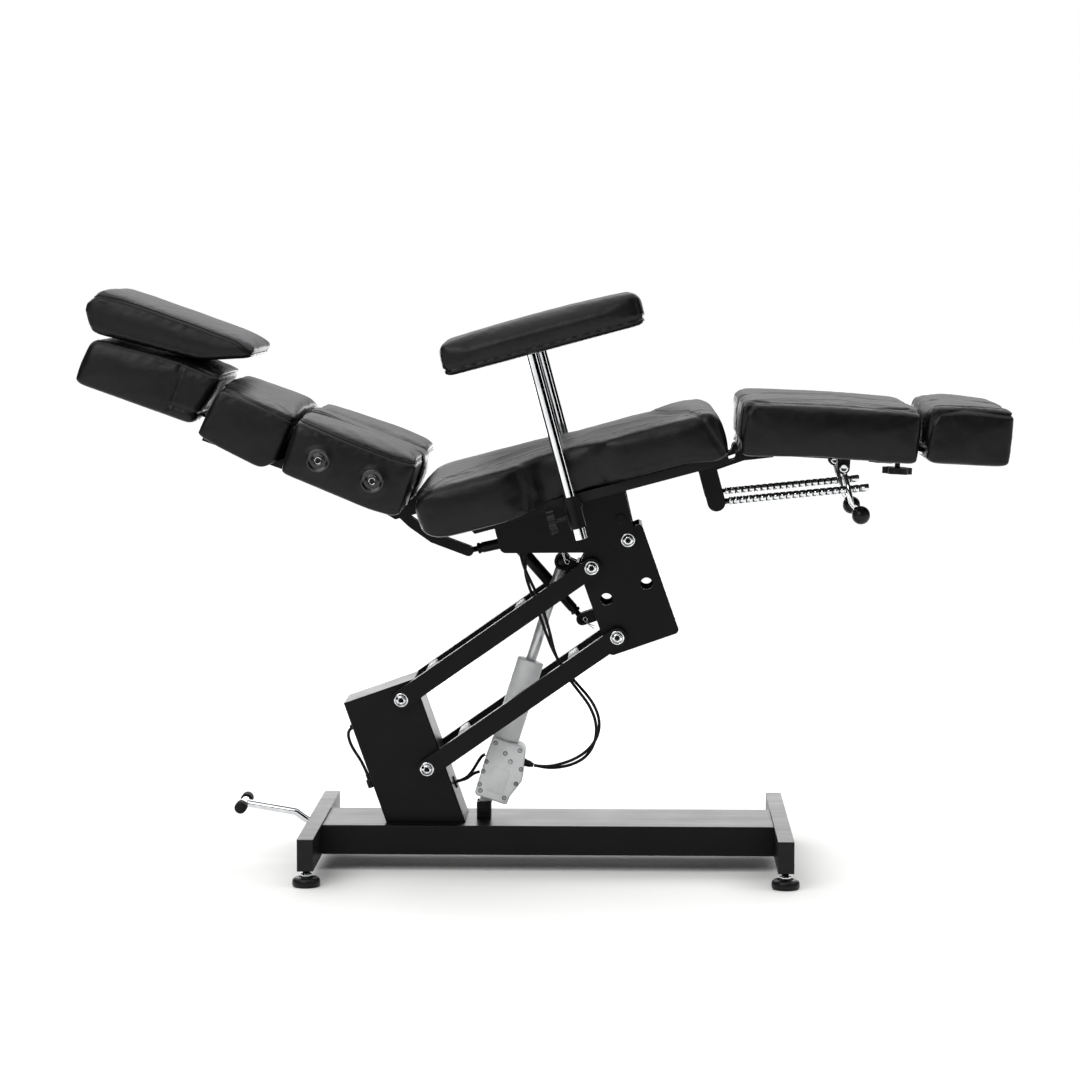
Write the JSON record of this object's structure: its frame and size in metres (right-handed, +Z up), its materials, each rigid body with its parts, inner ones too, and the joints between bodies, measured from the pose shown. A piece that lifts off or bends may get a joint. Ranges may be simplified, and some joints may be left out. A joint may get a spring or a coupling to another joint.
{
  "type": "tattoo chair",
  "caption": "Reclining treatment chair on a flat base with a tilted parallel-arm lift, split padded back, seat, paired leg rests, armrests and a headrest.",
  "frame": {"origin": "on the floor under the middle of the overall length and width", "axes": "+X towards the foot end, +Y across to the far side, +Z up"},
  "size_m": [1.7639, 0.614, 1.1136],
  "materials": {
    "black_paint": "semi-gloss powder coat",
    "black_vinyl": "soft satin vinyl",
    "chrome": "polished",
    "grey_housing": "satin light grey",
    "black_plastic": "satin",
    "black_rubber": "matte",
    "black_board": "matte black"
  },
  "bodies": {
    "base": {"base_beam": "black_paint", "cross_bars": "black_paint", "bar_end_caps": "black_plastic", "tower_column": "black_paint", "tower_grommet": "black_plastic", "tower_pins": "chrome", "lift_clevis": "black_paint", "power_lead": "black_rubber", "lift_leads": "black_rubber"},
    "pedal": {"pedal_lever": "chrome"},
    "upper_arm": {"upper_arms": "black_paint"},
    "lower_arm": {"lower_arms": "black_paint", "control_cables": "black_rubber"},
    "bracket": {"tilt_bracket": "black_paint", "bracket_pins": "chrome"},
    "lift_housing": {"lift_gearbox": "grey_housing", "lift_tube": "grey_housing", "lift_fittings": "chrome"},
    "lift_rod": {"lift_rod": "chrome"},
    "seat": {"seat_carrier": "black_paint", "seat_board": "black_board", "board_brackets": "black_paint", "arm_sockets": "black_paint", "seat_cushion": "black_vinyl"},
    "tilt_housing": {"tilt_housing": "black_paint"},
    "tilt_rod": {"tilt_rod": "chrome"},
    "back": {"back_board": "black_board", "back_hinges": "black_paint", "lumbar_pad_near": "black_vinyl", "lumbar_pad_far": "black_vinyl", "shoulder_pad": "black_vinyl", "centre_pad": "black_vinyl", "socket_rings": "black_plastic"},
    "back_rod": {"back_rod": "chrome"},
    "back_housing": {"back_housing": "black_paint"},
    "head": {"head_rods": "chrome", "head_pad": "black_vinyl", "head_cushion": "black_vinyl"},
    "level_foot_head_near_body": {"level_foot_head_near": "black_plastic"},
    "level_foot_head_far_body": {"level_foot_head_far": "black_plastic"},
    "level_foot_toe_near_body": {"level_foot_toe_near": "black_plastic"},
    "level_foot_toe_far_body": {"level_foot_toe_far": "black_plastic"},
    "leg_near": {"leg_frame_near": "black_paint", "leg_pad_near": "black_vinyl"},
    "ratchet_near": {"ratchet_rod_near": "chrome"},
    "latch_near": {"latch_lever_near": "chrome"},
    "foot_near": {"foot_pad_near": "black_vinyl"},
    "foot_knob_near_body": {"foot_knob_near": "black_plastic"},
    "arm_post_near_body": {"arm_post_near": "chrome"},
    "arm_pad_near_body": {"arm_pad_near": "black_vinyl"},
    "arm_knob_near_body": {"arm_knob_near": "black_plastic"},
    "leg_far": {"leg_frame_far": "black_paint", "leg_pad_far": "black_vinyl"},
    "ratchet_far": {"ratchet_rod_far": "chrome"},
    "latch_far": {"latch_lever_far": "chrome"},
    "foot_far": {"foot_pad_far": "black_vinyl"},
    "foot_knob_far_body": {"foot_knob_far": "black_plastic"},
    "arm_post_far_body": {"arm_post_far": "chrome"},
    "arm_pad_far_body": {"arm_pad_far": "black_vinyl"},
    "arm_knob_far_body": {"arm_knob_far": "black_plastic"}
  },
  "joints": [
    {"name": "lift", "type": "hinge", "parent": "base", "child": "upper_arm", "pos_m": [-0.268, 0, 0.327], "axis": [0, 1, 0], "range_deg": [0, 33], "deforming": ["lift_leads", "control_cables"]},
    {"name": "lower_arm_swing", "type": "hinge", "parent": "base", "child": "lower_arm", "pos_m": [-0.219, 0, 0.194], "axis": [0, 1, 0], "range_deg": [0, 33.5]},
    {"name": "bracket_level", "type": "hinge", "parent": "upper_arm", "child": "bracket", "pos_m": [0.09488, 0, 0.58109], "axis": [0, 1, 0], "range_deg": [-33.5, 0]},
    {"name": "lift_housing_swing", "type": "hinge", "parent": "base", "child": "lift_housing", "pos_m": [-0.114, 0, 0.109], "axis": [0, 1, 0], "range_deg": [0, 26]},
    {"name": "lift_rod_stroke", "type": "slide", "parent": "lift_housing", "child": "lift_rod", "axis": [0.304, 0, 0.9527], "range_m": [-0.17, 0]},
    {"name": "seat_tilt", "type": "hinge", "parent": "bracket", "child": "seat", "pos_m": [0.164, 0, 0.633], "axis": [0, 1, 0], "range_deg": [0, 15]},
    {"name": "tilt_housing_swing", "type": "hinge", "parent": "seat", "child": "tilt_housing", "pos_m": [-0.06222, 0.038, 0.62725], "axis": [0, 1, 0], "range_deg": [-5.2, 0]},
    {"name": "tilt_rod_stroke", "type": "slide", "parent": "tilt_housing", "child": "tilt_rod", "axis": [0.6626, 0, -0.749], "range_m": [0, 0.045]},
    {"name": "back_recline", "type": "hinge", "parent": "seat", "child": "back", "pos_m": [-0.16926, 0, 0.71763], "axis": [0, 1, 0], "range_deg": [-34.7, 50]},
    {"name": "back_rod_swing", "type": "hinge", "parent": "back", "child": "back_rod", "pos_m": [-0.1413, -0.026, 0.60884], "axis": [0, 1, 0], "range_deg": [-45, 31.5]},
    {"name": "back_stroke", "type": "slide", "parent": "back_rod", "child": "back_housing", "axis": [0.976, 0, 0.2176], "range_m": [-0.063, 0.09]},
    {"name": "head_extend", "type": "slide", "parent": "back", "child": "head", "axis": [-0.9415, 0, 0.3371], "range_m": [0, 0.06]},
    {"name": "leg_near_tilt", "type": "hinge", "parent": "seat", "child": "leg_near", "pos_m": [0.37515, -0.13, 0.79932], "axis": [0, 1, 0], "range_deg": [-15, 50]},
    {"name": "ratchet_near_swing", "type": "hinge", "parent": "seat", "child": "ratchet_near", "pos_m": [0.32958, -0.13, 0.7105], "axis": [0, 1, 0], "range_deg": [-13.5, 44]},
    {"name": "latch_near_turn", "type": "hinge", "parent": "leg_near", "child": "latch_near", "pos_m": [0.5662, -0.13, 0.77629], "axis": [0, 1, 0], "range_deg": [-12, 12]},
    {"name": "foot_near_extend", "type": "slide", "parent": "leg_near", "child": "foot_near", "axis": [0.9986, 0, -0.0523], "range_m": [0, 0.08]},
    {"name": "foot_knob_near_turn", "type": "hinge", "parent": "leg_near", "child": "foot_knob_near_body", "pos_m": [0.66475, -0.17, 0.78414], "axis": [0.0523, 0, 0.9986], "continuous": true},
    {"name": "arm_near_height", "type": "slide", "parent": "seat", "child": "arm_post_near_body", "axis": [-0.2588, 0, 0.9659], "range_m": [-0.08, 0.04]},
    {"name": "arm_near_swivel", "type": "hinge", "parent": "arm_post_near_body", "child": "arm_pad_near_body", "pos_m": [-0.01254, -0.252, 0.99049], "axis": [-0.2588, 0, 0.9659], "range_deg": [-90, 90]},
    {"name": "arm_knob_near_turn", "type": "hinge", "parent": "seat", "child": "arm_knob_near_body", "pos_m": [0.06692, -0.252, 0.69395], "axis": [0.9659, 0, 0.2588], "continuous": true},
    {"name": "leg_far_tilt", "type": "hinge", "parent": "seat", "child": "leg_far", "pos_m": [0.37515, 0.13, 0.79932], "axis": [0, 1, 0], "range_deg": [-15, 50]},
    {"name": "ratchet_far_swing", "type": "hinge", "parent": "seat", "child": "ratchet_far", "pos_m": [0.32958, 0.13, 0.7105], "axis": [0, 1, 0], "range_deg": [-13.5, 44]},
    {"name": "latch_far_turn", "type": "hinge", "parent": "leg_far", "child": "latch_far", "pos_m": [0.5662, 0.13, 0.77629], "axis": [0, 1, 0], "range_deg": [-12, 12]},
    {"name": "foot_far_extend", "type": "slide", "parent": "leg_far", "child": "foot_far", "axis": [0.9986, 0, -0.0523], "range_m": [0, 0.08]},
    {"name": "foot_knob_far_turn", "type": "hinge", "parent": "leg_far", "child": "foot_knob_far_body", "pos_m": [0.66475, 0.17, 0.78414], "axis": [0.0523, 0, 0.9986], "continuous": true},
    {"name": "arm_far_height", "type": "slide", "parent": "seat", "child": "arm_post_far_body", "axis": [-0.2588, 0, 0.9659], "range_m": [-0.08, 0.04]},
    {"name": "arm_far_swivel", "type": "hinge", "parent": "arm_post_far_body", "child": "arm_pad_far_body", "pos_m": [-0.01254, 0.252, 0.99049], "axis": [-0.2588, 0, 0.9659], "range_deg": [-90, 90]},
    {"name": "arm_knob_far_turn", "type": "hinge", "parent": "seat", "child": "arm_knob_far_body", "pos_m": [0.06692, 0.252, 0.69395], "axis": [0.9659, 0, 0.2588], "continuous": true},
    {"name": "pedal_rock", "type": "hinge", "parent": "base", "child": "pedal", "pos_m": [-0.434, 0, 0.079], "axis": [0, 1, 0], "range_deg": [-6, 6], "stiffness_Nm_per_rad": 40},
    {"name": "level_foot_head_near_turn", "type": "hinge", "parent": "base", "child": "level_foot_head_near_body", "pos_m": [-0.434, -0.255, 0], "axis": [0, 0, 1], "continuous": true},
    {"name": "level_foot_head_far_turn", "type": "hinge", "parent": "base", "child": "level_foot_head_far_body", "pos_m": [-0.434, 0.255, 0], "axis": [0, 0, 1], "continuous": true},
    {"name": "level_foot_toe_near_turn", "type": "hinge", "parent": "base", "child": "level_foot_toe_near_body", "pos_m": [0.458, -0.255, 0], "axis": [0, 0, 1], "continuous": true},
    {"name": "level_foot_toe_far_turn", "type": "hinge", "parent": "base", "child": "level_foot_toe_far_body", "pos_m": [0.458, 0.255, 0], "axis": [0, 0, 1], "continuous": true}
  ],
  "couplings": [
    {"joint": "lower_arm_swing", "follows": "lift", "ratio": 1},
    {"joint": "bracket_level", "follows": "lift", "ratio": -1},
    {"joint": "lift_housing_swing", "follows": "lift", "ratio": 0.775},
    {"joint": "lift_rod_stroke", "follows": "lift", "m_per_rad": -0.29},
    {"joint": "tilt_housing_swing", "follows": "seat_tilt", "ratio": -0.337},
    {"joint": "tilt_rod_stroke", "follows": "seat_tilt", "m_per_rad": 0.167},
    {"joint": "back_rod_swing", "follows": "back_recline", "ratio": -0.89},
    {"joint": "back_stroke", "follows": "back_recline", "m_per_rad": 0.102},
    {"joint": "ratchet_near_swing", "follows": "leg_near_tilt", "ratio": 0.87},
    {"joint": "ratchet_far_swing", "follows": "leg_far_tilt", "ratio": 0.87}
  ]
}
